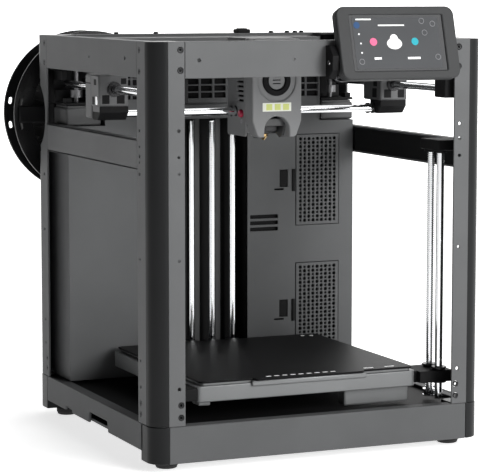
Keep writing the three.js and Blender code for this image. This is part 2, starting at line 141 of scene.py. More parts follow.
# Glowing white and grey for the screen picture. They are also used on printed marks elsewhere, where the glow
# is painted brightness.
WHITE_GLOW = glowing("white_glow", (0.8, 0.8, 0.8), 0.35)
GREY_GLOW = glowing("grey_glow", (0.2, 0.2, 0.21), 0.35)
UI_PINK = glowing("ui_pink", (0.62, 0.12, 0.23), 0.4)
UI_CYAN = glowing("ui_cyan", (0.02, 0.3, 0.36), 0.4)
UI_BLUE = glowing("ui_blue", (0.02, 0.06, 0.15), 0.3)
LABEL = material("plain_label", (0.78, 0.8, 0.7), 0.5, 0.0, 500, 0.02, 0.03)
LABEL_TINT = material("plain_label_tint", (0.62, 0.68, 0.2), 0.5, 0.0, 500, 0.02, 0.05)


# ---------------------------------------------------------------- mesh helpers
def put(name, bm, mat, body="frame", replaces=(), angle=21.0):
    """Makes a named piece of the mesh. Edges over the angle, in degrees, stay sharp."""
    bmesh.ops.recalc_face_normals(bm, faces=bm.faces)
    for v in bm.verts:
        v.co = (v.co + MOVE) / 1000
    mesh = bpy.data.meshes.new(name)
    bm.to_mesh(mesh)
    bm.free()
    mesh.shade_smooth()
    mesh.set_sharp_from_angle(angle=math.radians(angle))
    mesh.materials.append(mat)
    o = bpy.data.objects.new(name, mesh)
    bpy.context.scene.collection.objects.link(o)
    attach(o, body)
    if replaces:
        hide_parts(*replaces)


def merge(target, source):
    """Adds one bmesh to another and frees it."""
    mesh = bpy.data.meshes.new("part")
    source.to_mesh(mesh)
    source.free()
    target.from_mesh(mesh)
    bpy.data.meshes.remove(mesh)


def joined(*parts):
    bm = bmesh.new()
    for part in parts:
        merge(bm, part)
    return bm


def moved(bm, matrix):
    bmesh.ops.transform(bm, matrix=matrix, verts=bm.verts)
    return bm


def spun(bm, x, z, angle):
    """Turns a piece drawn at the origin about the Y axis, and takes it to x and z."""
    return moved(bm, Matrix.Translation((x, 0, z)) @ Matrix.Rotation(angle, 4, "Y"))


def bevel(bm, width, angle=30.0):
    sharp = [e for e in bm.edges if len(e.link_faces) == 2 and e.calc_face_angle(0) > math.radians(angle)]
    bmesh.ops.bevel(bm, geom=sharp, offset=width, segments=2, affect="EDGES", profile=0.5, clamp_overlap=True)


def box(x, y, z, edge=0.6):
    bm = bmesh.new()
    bmesh.ops.create_cube(bm, size=1)
    size = Vector((x[1] - x[0], y[1] - y[0], z[1] - z[0]))
    mid = Vector((x[0] + x[1], y[0] + y[1], z[0] + z[1])) / 2
    for v in bm.verts:
        v.co = Vector((v.co.x * size.x, v.co.y * size.y, v.co.z * size.z)) + mid
    if edge > 0:
        bevel(bm, min(edge, min(size) * 0.45))
    return bm


def boxes(*rows):
    """Boxes of x, y, z and edge, as one mesh."""
    return joined(*[box(*row) for row in rows])


def on_side(s, low, high):
    """A span on the positive side of the centre, or its mirror image where s is -1."""
    return (low, high) if s > 0 else (-high, -low)


def side_boxes(s, *rows):
    """Boxes drawn on the right, as one mesh on the right or, where s is -1, on the left."""
    return joined(*[box(on_side(s, *x), y, z, edge) for x, y, z, edge in rows])


AXES = {"x": Matrix.Rotation(PI / 2, 4, "Y"), "y": Matrix.Rotation(-PI / 2, 4, "X"), "z": Matrix.Identity(4)}


def rod(axis, centre, span, r, edge=0.4, segments=32):
    """A rod along an axis. The centre gives the other two coordinates in x, y, z order."""
    bm = bmesh.new()
    depth = span[1] - span[0]
    bmesh.ops.create_cone(bm, cap_ends=True, segments=segments, radius1=r, radius2=r, depth=depth)
    if edge > 0:
        bevel(bm, edge, 50)
    mid = (span[0] + span[1]) / 2
    at = {"x": (mid, *centre), "y": (centre[0], mid, centre[1]), "z": (*centre, mid)}[axis]
    return moved(bm, Matrix.Translation(at) @ AXES[axis])


# How a flat outline (a, b) raised by c lies in the frame.
LIES = {
    "front": Matrix(((1, 0, 0, 0), (0, 0, 1, 0), (0, 1, 0, 0), (0, 0, 0, 1))),
    "side": Matrix(((0, 0, 1, 0), (1, 0, 0, 0), (0, 1, 0, 0), (0, 0, 0, 1))),
    "top": Matrix.Identity(4),
}
NORMAL = {"x": "side", "y": "front", "z": "top"}


def turned(axis, centre, profile, segments=48, closed=True):
    """A profile of (radius, place along the axis) turned about that axis."""
    bm = bmesh.new()
    rings = []
    for k in range(segments):
        a = 2 * PI * k / segments
        rings.append([bm.verts.new((r * math.cos(a), r * math.sin(a), h)) for r, h in profile])
    count = len(profile)
    for k in range(segments):
        one, two = rings[k], rings[(k + 1) % segments]
        for i in range(count if closed else count - 1):
            j = (i + 1) % count
            bm.faces.new((one[i], two[i], two[j], one[j]))
    bmesh.ops.remove_doubles(bm, verts=bm.verts, dist=1e-4)
    bad = [f for f in bm.faces if f.calc_area() < 1e-7]
    bmesh.ops.delete(bm, geom=bad, context="FACES")
    at = {"x": (0, *centre), "y": (centre[0], 0, centre[1]), "z": (*centre, 0)}[axis]
    return moved(bm, Matrix.Translation(at) @ LIES[NORMAL[axis]])


def tube(inner, outer, start, end):
    """The profile of a plain ring, for turned."""
    return [(inner, start), (outer, start), (outer, end), (inner, end)]


def arc(cx, cy, r, start, end, steps=10):
    return [(cx + r * math.cos(math.radians(start + (end - start) * i / steps)),
             cy + r * math.sin(math.radians(start + (end - start) * i / steps))) for i in range(steps + 1)]


def circle(cx, cy, r, steps=16):
    return arc(cx, cy, r, 0, 360 - 360 / steps, steps - 1)


def oblong(x, y, r, steps=5):
    return (arc(x[1] - r, y[0] + r, r, -90, 0, steps) + arc(x[1] - r, y[1] - r, r, 0, 90, steps)
            + arc(x[0] + r, y[1] - r, r, 90, 180, steps) + arc(x[0] + r, y[0] + r, r, 180, 270, steps))


def rectangle(x, y):
    return [(x[0], y[0]), (x[1], y[0]), (x[1], y[1]), (x[0], y[1])]


def mirrored(points, sx, sy):
    return [(sx * x, sy * y) for x, y in points]


def sheet(plane, outer, span, holes=(), edge=0.35):
    """A flat sheet with holes. The span is along the sheet's own normal axis."""
    curve = bpy.data.curves.new("outline", "CURVE")
    curve.dimensions = "2D"
    curve.fill_mode = "BOTH"
    thick = span[1] - span[0]
    curve.extrude = thick / 2 - edge
    curve.bevel_depth = edge
    curve.bevel_resolution = 1
    curve.offset = -edge
    for points in [outer, *holes]:
        s = curve.splines.new("POLY")
        s.points.add(len(points) - 1)
        for p, q in zip(s.points, points):
            p.co = (q[0], q[1], 0, 1)
        s.use_cyclic_u = True
    o = bpy.data.objects.new("outline", curve)
    bpy.context.scene.collection.objects.link(o)
    mesh = bpy.data.meshes.new_from_object(o.evaluated_get(bpy.context.evaluated_depsgraph_get()))
    bpy.data.objects.remove(o)
    bpy.data.curves.remove(curve)
    bm = bmesh.new()
    bm.from_mesh(mesh)
    bpy.data.meshes.remove(mesh)
    bmesh.ops.remove_doubles(bm, verts=bm.verts, dist=1e-3)
    lift = Matrix.Translation((0, 0, (span[0] + span[1]) / 2))
    return moved(bm, LIES[plane] @ lift)


def screw_head(axis, centre, face, out, r=2.6):
    """A countersunk screw with a round socket. The face is its seat and out is +1 or -1."""
    shape = ((0.5, -0.9), (0.52, 0.35), (0.86, 0.4), (1, 0.05), (1, -0.8))
    return turned(axis, centre, [(r * wide, face + high * out) for wide, high in shape], 12)


# ---------------------------------------------------------------- base
def build_skirt():
    low = 8.0
    side = [(-150, 17.7), (-50, 17.7), (-47, 29), (7, 29), (10, 17.7), (62, 17.7), (64, 22), (84, 22),
            (86, 17.7), (146, 17.7), (146, BASE_TOP), (-150, BASE_TOP)]
    parts = []
    for s in (-1, 1):
        parts.append(box((-163.8, 163.8), on_side(s, HY - 3, HY), (low, BASE_TOP), 1.0))
        parts.append(sheet("side", side, on_side(s, HX - 3, HX), edge=0.6))
    put("base_skirt", joined(*parts), SKIRT, replaces=["base_housing"])
    outline = [(164.1, HY), *arc(HX - CORNER_R, HY - CORNER_R, CORNER_R, 90, 0, 12), (HX, 146.3),
               (HX - 28, 146.3), (HX - 28, HY - 28), (150.3, HY - 28), (150.3, HY - 3.3), (164.1, HY - 3.3)]
    caps = [sheet("top", mirrored(outline, sx, sy), (low, BASE_TOP), edge=0.9)
            for sx in (-1, 1) for sy in (-1, 1)]
    put("base_corners", joined(*caps), CORNER)


def build_floor():
    slots = [oblong((-60 + i * 24, -44 + i * 24), (30, 60), 2) for i in range(6)]
    floor = sheet("top", oblong((-HX + 3.2, HX - 3.2), (-HY + 3.2, HY - 3.2), 14), (36, 41), slots)
    put("base_floor", floor, BLACK)
    vents = [oblong((-110 + i * 9, -106 + i * 9), (-70, -20), 1.9) for i in range(12)]
    under = sheet("top", oblong((-HX + 3.4, HX - 3.4), (-HY + 3.4, HY - 3.4), 14), (19, 22), vents)
    put("base_underside", under, SKIRT)
    ledge = boxes(((-149, 149), (-HY + 3, -HY + 15), (42.6, 44.6), 0.4),
                  ((-HX + 3, -HX + 13), (-145, 145), (42.6, 44.6), 0.4),
                  ((HX - 13, HX - 3), (-145, 145), (42.6, 44.6), 0.4))
    put("base_ledge", ledge, SKIRT)


def build_feet():
    r = 11.5
    profile = [(0.01, 0), (r - 2.2, 0), (r - 1.2, 0.5), (r - 0.8, 1.6), (r, 3.2), (r, 6.9), (r - 0.6, 7.7),
               (0.01, 7.7)]
    for tag, sx, sy in CORNERS:
        foot = turned("z", (sx * 157, sy * 151), profile, 40, False)
        put(f"foot_{tag}_pad", foot, RUBBER, replaces=[f"foot_{tag}"])


# ---------------------------------------------------------------- posts and outer sheets
# Small holes are a height and a radius; screws are a height.
HOLES_LEFT = ((333.5, 1.7), (308, 1.4), (292, 1.4), (207.7, 1.5), (81.8, 1.9))
HOLES_RIGHT = ((333.5, 1.7), (318.5, 1.6), (301, 1.7), (207.7, 1.5), (81.8, 1.9))
HOLES_FLANK = ((333, 1.5), (317, 1.2), (308, 2.0), (302, 1.2), (290.6, 2.0), (207, 1.5), (107, 1.4),
               (81, 1.6))
FACE_SCREWS = (411, 391.5, 65.9, 53.7)
FLANK_SCREWS = (410.6, 390, 65, 54)
FACE_SCREW_X, FLANK_SCREW_Y = 151.5, 145.2
FLANGE_X, FLANGE_Y = 147.1, 138.4  # inner edges of the two flanges
NOTCH = (REEL_Z - 40, REEL_Z + 40)  # where the reel stands in the rear left post


def post_corner(tag, sx, sy):
    cx, cy = HX - CORNER_R, HY - CORNER_R
    outline = arc(cx, cy, CORNER_R - 0.35, 90, 0, 14) + arc(cx, cy, CORNER_R - SHEET, 0, 90, 14)
    high = TOP - 0.1
    spans = [(POST_LOW, NOTCH[0]), (NOTCH[1], high)] if tag == "rl" else [(POST_LOW, high)]
    corner = joined(*[sheet("top", mirrored(outline, sx, sy), span, edge=0.2) for span in spans])
    put(f"post_{tag}_corner", corner, CORNER, replaces=[f"post_{tag}"])


def post_face(tag, sx, sy):
    """The flat flange that faces front or back."""
    x = on_side(sx, FLANGE_X, 164.2)
    span = on_side(sy, HY - SHEET, HY)
    rows = HOLES_LEFT if sx < 0 else HOLES_RIGHT
    seats = [circle(sx * FACE_SCREW_X, z, 3.2) for z in FACE_SCREWS]
    if tag == "rl":
        low_holes = [circle(sx * 153.4, z, r) for z, r in rows if z < NOTCH[0] - 10]
        face = joined(sheet("front", rectangle(x, (POST_LOW, NOTCH[0])), span, low_holes + seats[2:]),
                      sheet("front", rectangle(x, (NOTCH[1], TOP)), span, seats[:2]))
    else:
        holes = [circle(sx * 153.4, z, r) for z, r in rows]
        face = sheet("front", rectangle(x, (POST_LOW, TOP)), span, holes + seats)
    put(f"post_{tag}_face", face, PAINT)


def post_flank(tag, sx, sy):
    """The flat flange on the machine's side, with a scoop for the reel at the rear left."""
    y = on_side(sy, FLANGE_Y, 160.5)
    seats = [circle(sy * FLANK_SCREW_Y, z, 2.9) for z in FLANK_SCREWS]
    if tag == "rl":
        holes = [circle(149, z, 1.6) for z in (268, 207.6, 107.5, 81.7)]
        scoop = [p for p in arc(HY + 6, REEL_Z, 40, 233, 127, 16) if p[0] < 160.4]
        outline = [(y[0], POST_LOW), (y[1], POST_LOW), (y[1], scoop[0][1]), *scoop, (y[1], scoop[-1][1]),
                   (y[1], TOP), (y[0], TOP)]
    else:
        holes = [circle(sy * FLANK_SCREW_Y, z, r) for z, r in HOLES_FLANK]
        outline = rectangle(y, (POST_LOW, TOP))
    flank = sheet("side", outline, on_side(sx, HX - SHEET, HX), holes + seats)
    put(f"post_{tag}_flank", flank, PAINT)


def post_cap(tag, sx, sy):
    outline = [(FLANGE_X, HY - 0.4), *arc(HX - CORNER_R, HY - CORNER_R, CORNER_R - 0.4, 90, 0, 12),
               (HX - 0.4, FLANGE_Y), (FLANGE_X, FLANGE_Y)]
    put(f"post_{tag}_cap", sheet("top", mirrored(outline, sx, sy), (TOP - 2.2, TOP), edge=0.4), CORNER)
    heads = [screw_head("y", (sx * FACE_SCREW_X, z), sy * (HY - 0.5), sy, 2.8) for z in FACE_SCREWS]
    heads += [screw_head("x", (sy * FLANK_SCREW_Y, z), sx * (HX - 0.5), sx, 2.5) for z in FLANK_SCREWS]
    put(f"post_{tag}_screws", joined(*heads), SCREW)


def build_posts():
    for corner in CORNERS:
        post_corner(*corner)
        post_face(*corner)
        post_flank(*corner)
        post_cap(*corner)


def build_top_plates():
    """Each plate has a lip along the top and a short hem that hangs from the lip."""
    lip, hem = (TOP - 2, TOP), (TOP - 9, TOP - 1)
    x, y = (-146.6, 146.6), (-138, 138)
    for tag, s in (("front", -1), ("rear", 1)):
        holes = [circle(-132, 401, 1.9), circle(-31.6, 401, 1.2)]
        plate = joined(sheet("front", rectangle(x, (PLATE_LOW, TOP)), on_side(s, HY - SHEET, HY), holes),
                       box(x, on_side(s, HY - 18, HY - 1), lip, 0.4),
                       box(x, on_side(s, HY - 18, HY - 16), hem, 0.4))
        put(f"top_{tag}_sheet", plate, PAINT, replaces=[f"top_plate_{tag}"])
    for tag, s in SIDES:
        holes = [circle(-105.5, 401.5, 1.9), circle(0, 400, 1.2)]
        plate = joined(sheet("side", rectangle(y, (PLATE_LOW, TOP)), on_side(s, HX - SHEET, HX), holes),
                       box(on_side(s, HX - 18, HX - 1), y, lip, 0.4),
                       box(on_side(s, HX - 18, HX - 16), y, hem, 0.4))
        put(f"top_{tag}_sheet", plate, PAINT, replaces=[f"top_plate_{tag}"])


def build_top_fittings():
    pins = [rod("z", (x, 168), (TOP - 0.5, TOP + 2.2), 2.6, 0.6, 20) for x in (-90, -43, 98, 118, 128, 136)]
    pins += [rod("z", (170, y), (TOP - 0.5, TOP + 2.4), 2.6, 0.6, 16) for y in (-120, 60)]
    put("top_screw_heads", joined(*pins), SCREW)
    sensor = boxes(((54, 70), (162, 176), (TOP, TOP + 4.4), 1.2),
                   ((57, 67), (164, 174), (TOP + 4, TOP + 5.4), 0.6))
    put("filament_guide", sensor, BLACK, replaces=["filament_sensor"])


def build_rails():
    for (tag, s), (low, high) in zip(SIDES, ((294, 324), (285, 315))):
        y, depth = (-138, 138), on_side(s, HX - 10, HX)
        rail = joined(sheet("side", rectangle(y, (low, high)), on_side(s, HX - SHEET, HX)),
                      box(depth, y, (high - 2, high), 0.4), box(depth, y, (low, low + 2), 0.4))
        put(f"mid_{tag}_sheet", rail, PAINT, replaces=[f"mid_rail_{tag}"])
        web = box(on_side(s, 171, 173), (-136, 98), (low + 2.2, high - 2.2), 0.4)
        put(f"mid_{tag}_liner", web, BLACK)
        block = joined(box(on_side(s, 142, 171), (-154, -114), (304, high), 1.2),
                       rod("z", (s * LIFT_X, SCREW_Y), (301.9, 305), 7.5),
                       rod("z", (s * LIFT_X, GUIDE_Y), (301.9, 305), 6.5))
        put(f"z_top_{tag}_block", block, BLACK, replaces=[f"z_top_block_{tag}"])


# ---------------------------------------------------------------- rear compartment
WALL_X = 170  # half the wall's width
WALL_Y, BAY_BACK = 101.0, 174.5  # front of the wall and back of the bay behind it
SHELF, TOWER_X, TOWER_TOP = 322, 128, 415.8  # the wall narrows to a tower above the shelf
GRILLE_X = (98.5, 152.5)
GRILLES = (("upper", (204, 307), 22), ("lower", (68, 162), 20))  # name, height span and rows of holes
GRILLE_COLUMNS = 9
CHANNEL_X, CHANNEL_Z = (-38, 38), (50, 327)


def build_rear_wall():
    low = POST_LOW
    outline = [(-WALL_X, low), (WALL_X, low), (WALL_X, SHELF), (TOWER_X, SHELF), (TOWER_X, TOWER_TOP),
               (-TOWER_X, TOWER_TOP), (-TOWER_X, SHELF), (-WALL_X, SHELF)]
    holes = [rectangle(GRILLE_X, z) for _, z, _ in GRILLES]
    holes.append(rectangle(CHANNEL_X, CHANNEL_Z))
    holes += [oblong((43, 77), (z, z + 4.2), 0.8) for z in (213.5, 206.5, 199.5)]
    for z in (248, 101):
        holes += [rectangle((79, 89), (z, z + 19.5)), oblong((72.5, 84), (z - 3.4, z - 1.4), 0.6)]
    holes += [oblong((-112 + i * 16, -98.5 + i * 16), (349.6 + j * 7.6, 355.6 + j * 7.6), 0.6)
              for i in range(15) for j in range(5)]
    wall = sheet("front", outline, (WALL_Y, WALL_Y + SHEET), holes)
    deep = (WALL_Y + 1, BAY_BACK)
    shelf = (SHELF - SHEET, SHELF)
    edges = boxes(((-WALL_X, -WALL_X + SHEET), deep, (low, SHELF), 0.6),
                  ((WALL_X - SHEET, WALL_X), deep, (low, SHELF), 0.6),
                  ((-TOWER_X, -TOWER_X + SHEET), deep, (SHELF, TOWER_TOP), 0.6),
                  ((TOWER_X - SHEET, TOWER_X), deep, (SHELF, TOWER_TOP), 0.6),
                  ((-127.5, 127.5), deep, (TOWER_TOP - SHEET, TOWER_TOP), 0.5),
                  ((-169.5, -127), deep, shelf, 0.5), ((127, 169.5), deep, shelf, 0.5))
    # The rear wall takes the darker copy of the frame paint, which is painted shade.
    put("rear_wall_sheet", joined(wall, edges), PAINT_SHADED, replaces=["rear_housing"])
    # A black sheet just behind the wall, so that the grilles and slots read dark: painted shade in place of
    # the shadowed bay behind.
    y = (WALL_Y + 4, WALL_Y + 6)
    shade_sheet = boxes(((-167.5, -43), y, (low + 1, SHELF - 3), 0.3),
                   ((43, 167.5), y, (low + 1, SHELF - 3), 0.3),
                   ((-125.5, 125.5), y, (CHANNEL_Z[1] + 3, TOWER_TOP - 3), 0.3))
    put("rear_wall_shade_sheet", shade_sheet, BLACK)
    # a cross rib over the rods, and a fold down the tower's right edge
    ribs = boxes(((-60, 105), (WALL_Y - 3.2, WALL_Y + 0.4), (328.5, 343), 1.2),
                 ((126, 127.6), (WALL_Y - 1.0, WALL_Y + 0.4), (324, 400), 0.3))
    put("rear_wall_ribs", ribs, PAINT_SHADED)


def build_z_channel():
    (left, right), (low, high) = CHANNEL_X, CHANNEL_Z
    liner = boxes(((left - 2, left), (WALL_Y, 130), CHANNEL_Z, 0.3),
                  ((right, right + 2), (WALL_Y, 130), CHANNEL_Z, 0.3),
                  (CHANNEL_X, (128, 130), CHANNEL_Z, 0.3),
                  (CHANNEL_X, (WALL_Y + 1, 130), (high, high + 2), 0.3),
                  (CHANNEL_X, (WALL_Y + 1, 130), (low - 2, low), 0.3))
    put("z_channel_liner", liner, BLACK)
    ribs = [box(x, (122, 128), (low + 2, high - 1), 1.0) for x in ((-16, -9), (9, 16))]
    put("z_channel_ribs", joined(*ribs), GREY_PART)


def build_grilles():
    latches = []
    for z in (246, 99):
        latches += [box((79.5, 88.5), (WALL_Y + 0.6, WALL_Y + 3), (z + 2.6, z + 21), 0.5),
                    box((94.2, 97.6), (WALL_Y - 1.6, WALL_Y + 1), (z - 3, z + 22), 0.5)]
    put("grille_latches", joined(*latches), BLACK)
    left, right = GRILLE_X
    dx = (right - left - 12) / (GRILLE_COLUMNS - 1)
    for name, (low, high), rows in GRILLES:
        dz = (high - low - 11) / (rows - 1)
        holes = [circle(left + 6 + i * dx, low + 5.5 + j * dz, 2.0 if (i + j) % 2 else 1.5, 10)
                 for i in range(GRILLE_COLUMNS) for j in range(rows)]
        outer = rectangle((left + 0.7, right - 0.7), (low + 0.7, high - 0.7))
        panel = sheet("front", outer, (WALL_Y - 0.5, WALL_Y + 1.2), holes, 0.25)
        put(f"grille_{name}_panel", panel, PAINT_SHADED, replaces=[f"grille_{name}"])


def build_back_cover():
    holes = [oblong((20, 120), (150 + i * 12, 155 + i * 12), 2.2) for i in range(8)]
    holes.append(rectangle((80, 138), (58, 92)))
    outline = oblong((-146.6, 146.6), (BASE_TOP + 0.4, PLATE_LOW - 0.4), 2)
    put("rear_cover_sheet", sheet("front", outline, (175, HY), holes), PAINT, replaces=["rear_cover"])
    # A black sheet behind the cover's slots: painted shade for the shadowed inside of the bay.
    put("rear_cover_shade_sheet", box((-142, 142), (171, 173), (96, 300), 0.4), BLACK)
    heads = [screw_head("y", (x, z), HY - 0.1, 1) for x in (-138, 138) for z in (54, 130, 215, 300, 374)]
    put("rear_cover_screws", joined(*heads), SCREW)


def build_inlet():
    bezel = sheet("front", oblong((80.3, 137.7), (58.3, 91.7), 2), (174, HY + 0.6),
                  [oblong((85, 113), (64, 86), 3), oblong((119, 133), (63, 87), 1)], 0.5)
    y = (160, 175)
    tub = boxes(((84, 114), (158, 162), (63, 87), 0.3), ((83, 85), y, (63, 87), 0.3),
                ((113, 115), y, (63, 87), 0.3), ((83, 115), y, (62, 64), 0.3),
                ((83, 115), y, (86, 88), 0.3), ((118, 134), (160, 165), (62, 88), 0.3))
    put("inlet_body", joined(bezel, tub), BLACK, replaces=["power_inlet"])
    pins = [box((x - 0.8, x + 0.8), (162, 175), (z - 2.2, z + 2.2), 0.3)
            for x, z in ((92, 73), (99, 78), (106, 73))]
    put("inlet_pins", joined(*pins), STEEL)
    side = [(170.5, 64.5), (180.6, 64.5), (178.9, 75), (180.6, 85.5), (170.5, 85.5)]
    rocker = sheet("side", side, (120, 132), edge=0.7)
    put("rocker_cap", rocker, BLACK, "rocker", ["power_switch"])
    # The white mark on the rocker glows like the screen: painted brightness on plain print.
    mark = box((125.4, 126.6), (179.3, 180.4), (79, 83), 0.1)
    put("rocker_mark", mark, WHITE_GLOW, "rocker")


# ---------------------------------------------------------------- rods and screws
def build_rods():
    rear = (52.3, REAR_TOP)
    front = (POST_LOW, LIFT_TOP)
    for name, x, y, span in (("guide_rod_rear_left", -REAR_ROD_X, REAR_Y, rear),
                             ("guide_rod_rear_right", REAR_ROD_X, REAR_Y, rear),
                             ("guide_rod_front_left", -LIFT_X, GUIDE_Y, front),
                             ("guide_rod_front_right", LIFT_X, GUIDE_Y, front)):
        shaft = rod("z", (x, y), span, ROD_R, 0.5, 36)
        put(f"{name}_shaft", shaft, STEEL, replaces=[name])
    for tag, x, y, span in (("rear", 0, REAR_Y, rear), ("left", -LIFT_X, SCREW_Y, front),
                            ("right", LIFT_X, SCREW_Y, front)):
        low, high = span
        # a grooved coupling at the foot, then plain ridges 2 mm apart in place of a true thread
        profile = [(0.01, low), (7, low), (7, low + 1), (6, low + 1.2), (6, low + 5.8), (7, low + 6),
                   (7, low + 7), (ROD_R, low + 7)]
        z = low + 9
        while z < high - 3:
            profile += [(ROD_R, z), (ROD_R, z + 0.9), (3.35, z + 1.15), (3.35, z + 1.75)]
            z += 2.0
        profile += [(3.6, high - 1), (3.2, high), (0.01, high)]
        name = f"lead_screw_{tag}"
        put(f"{name}_thread", turned("z", (x, y), profile, 20, False), STEEL, f"screw_{tag}",
            [name], 60)
    for tag, s in SIDES:
        shaft = rod("y", (s * Y_ROD_X, Y_ROD_Z), (-146.7, 146.7), ROD_R, 0.5, 36)
        put(f"y_rod_{tag}_shaft", shaft, STEEL, replaces=[f"y_rod_{tag}"])
    for tag, y, z in X_RODS:
        shaft = rod("x", (y, z), (-144.2, 144.2), ROD_R, 0.5, 36)
        put(f"x_rod_{tag}_shaft", shaft, STEEL, "gantry", [f"x_rod_{tag}"])


# ---------------------------------------------------------------- bed
TAB = 62.0  # half the width of the plate's pull tab
REAR_BORES = [(-REAR_ROD_X, REAR_Y), (0, REAR_Y), (REAR_ROD_X, REAR_Y)]
SIDE_BORES = [(LIFT_X, SCREW_Y), (LIFT_X, GUIDE_Y)]


def build_bed():
    rear = [circle(x, y, BORE_R, 20) for x, y in REAR_BORES]
    right = [circle(x, y, BORE_R, 20) for x, y in SIDE_BORES]
    left = [circle(-x, y, BORE_R, 20) for x, y in SIDE_BORES]
    rim = oblong((-123.5, 122), (-147.5, 92), 6, 6)
    inner = oblong((-114, 114), (-141.5, 87), 4, 6)
    tray = joined(sheet("top", rim, (61, 77), [inner], 0.9), sheet("top", inner, (73, 76.8), (), 0.3))
    put("bed_tray", tray, ALLOY, "bed", ["bed_frame"])
    wing = [(117, -112), (117, -145.8), (124, -145.8), (124, -153), (162, -153), (162, -112)]
    arms = joined(sheet("top", wing, (64, 76), right, 0.8),
                  sheet("top", mirrored(wing, -1, 1), (64, 76), left, 0.8),
                  sheet("top", rectangle((-36, 36), (88, 122)), (64, 76), rear, 0.8))
    put("bed_arms", arms, BLACK, "bed")
    profile = [(4.6, 62.5), (8, 62.5), (8, 64.2), (7, 64.6), (7, 77.2), (8, 77.6), (8, 79), (4.6, 79)]
    places = REAR_BORES + SIDE_BORES + mirrored(SIDE_BORES, -1, 1)
    put("bed_collars", joined(*[turned("z", at, profile, 28) for at in places]), SCREW, "bed")
    heater = joined(sheet("top", oblong((-117, 117), (-144.5, 90), 4), (77.1, 79.4), (), 0.3),
                    box((-TAB - 2, TAB + 2), (-150.4, -144.4), (73.6, 79.3), 1.6))
    put("heater_plate", heater, ALLOY, "bed", ["heated_bed"])


def build_flex_plate():
    outline = (arc(114, -141.5, 5, -90, 0, 5) + arc(114, 87, 5, 0, 90, 5) + arc(-114, 87, 5, 90, 180, 5)
               + arc(-114, -141.5, 5, 180, 270, 5) + [(-TAB, -146.5)] + arc(-TAB + 5, -148.5, 4, 180, 270, 4)
               + arc(TAB - 5, -148.5, 4, 270, 360, 4) + [(TAB, -146.5)])
    plate = sheet("top", outline, (79.6, 81.6), (), 0.5)
    put("flex_plate_sheet", plate, PLATE, "flex_plate", ["build_plate"])
    lip = rod("x", (-150.0, 80.4), (-TAB + 4, TAB - 4), 1.15, 0.3, 16)
    put("flex_plate_lip", lip, PLATE, "flex_plate")
    # plain dashes along the front edge, two loops beside them and two rings at the back
    shapes = [(oblong((x, x + 5.5), (-144.6, -141.6), 0.8), ()) for x in range(-46, 27, 9)]
    for x in (66, 90):
        loop = oblong((x, x + 11), (-139.5, -136.5), 1.2)
        shapes.append((loop, [oblong((x + 3, x + 8), (-138.6, -137.4), 0.4)]))
    shapes += [(circle(x, y, 2.2, 12), [circle(x, y, 1.2, 12)]) for x, y in ((98, 80), (108, 78))]
    # The white print on the plate glows: painted brightness.
    marks = [sheet("top", outer, (81.5, 81.68), holes, 0.02) for outer, holes in shapes]
    put("flex_plate_marks", joined(*marks), WHITE_GLOW, "flex_plate")
    brackets = boxes(((44, 118), (-138, -122), (43.6, 61.5), 2.0),
                     ((-118, -105), (-140, -122), (56, 61.5), 1.2))
    put("bed_front_brackets", brackets, ALLOY, "bed")


# ---------------------------------------------------------------- gantry
def gantry_block(tag, s):
    shell = side_boxes(s, ((144.5, 177), (-17, 25), (349, 382), 2.0),
                       ((160, 177.2), (5, 25), (336, 381), 2.2),
                       ((146, 176.2), (-16.5, 5), (343, 350), 1.0))
    put(f"gantry_{tag}_shell", shell, BLOCK, "gantry", [f"gantry_block_{tag}"])
    side = [(-17, 349.4), (8, 349.4), (8, 337), (4, 335), (-9, 335), (-17, 343)]
    foot = sheet("side", side, on_side(s, 144.5, 176), edge=1.0)
    put(f"gantry_{tag}_foot", foot, BLACK, "gantry")
    front = (-17.2, -16.4)
    windows = side_boxes(s, ((176.6, 177.15), (-9, -2), (371, 377), 0.15),
                         ((176.6, 177.15), (-3, 3), (351, 359), 0.15),
                         ((144.2, 146), (-8, 2), (352, 362), 0.3),
                         ((176.9, 177.5), (8, 22), (372, 373), 0.1),
                         ((144.3, 146), (-9, 0), (364, 377), 0.4),
                         ((165.5, 173.5), front, (352, 361), 0.15),
                         ((149, 157.5), front, (352, 361), 0.15),
                         ((147, 153), front, (372, 378), 0.15))
    put(f"gantry_{tag}_windows", windows, BLACK, "gantry")
    rollers = joined(box(on_side(s, 176.4, 177.2), (-12, -7), (351, 359.5), 0.2),
                     rod("y", (s * 168, 344), (-15, -9), 3.0, 0.4, 24))
    put(f"gantry_{tag}_rollers", rollers, STEEL, "gantry")
    bushings = [turned("y", (s * Y_ROD_X, Y_ROD_Z), tube(4.3, 7.5, y, y + 2.5), 28) for y in (-19, 24)]
    bushings += [turned("x", (y, z), tube(4.1, 5.8, s * 142.5, s * 145), 24) for _, y, z in X_RODS]
    put(f"gantry_{tag}_bushings", joined(*bushings), SCREW, "gantry")


def idler(tag, s):
    y = (-170, -147)
    body = side_boxes(s, ((140, 172), y, (359, 384.6), 1.4), ((140, 172), y, (395.4, 399), 1.0),
                      ((163.5, 172), y, (384, 396), 0.8))
    put(f"idler_{tag}_body", body, BLACK, replaces=[f"idler_block_{tag}"])
    strut = side_boxes(s, ((174.5, 179.2), (-158, -150), (318, 383), 0.8),
                       ((171, 179), (-158, -148), (366, 384), 0.8))
    put(f"idler_{tag}_strut", strut, BLACK)
    profile = [(1.5, 384.9), (8.0, 384.9), (8.0, 386), (6.6, 386.3), (6.6, 393.7), (8.0, 394), (8.0, 395.1),
               (1.5, 395.1)]
    put(f"idler_{tag}_wheel", turned("z", (s * BELT_X, IDLER_Y), profile, 32), DULL)


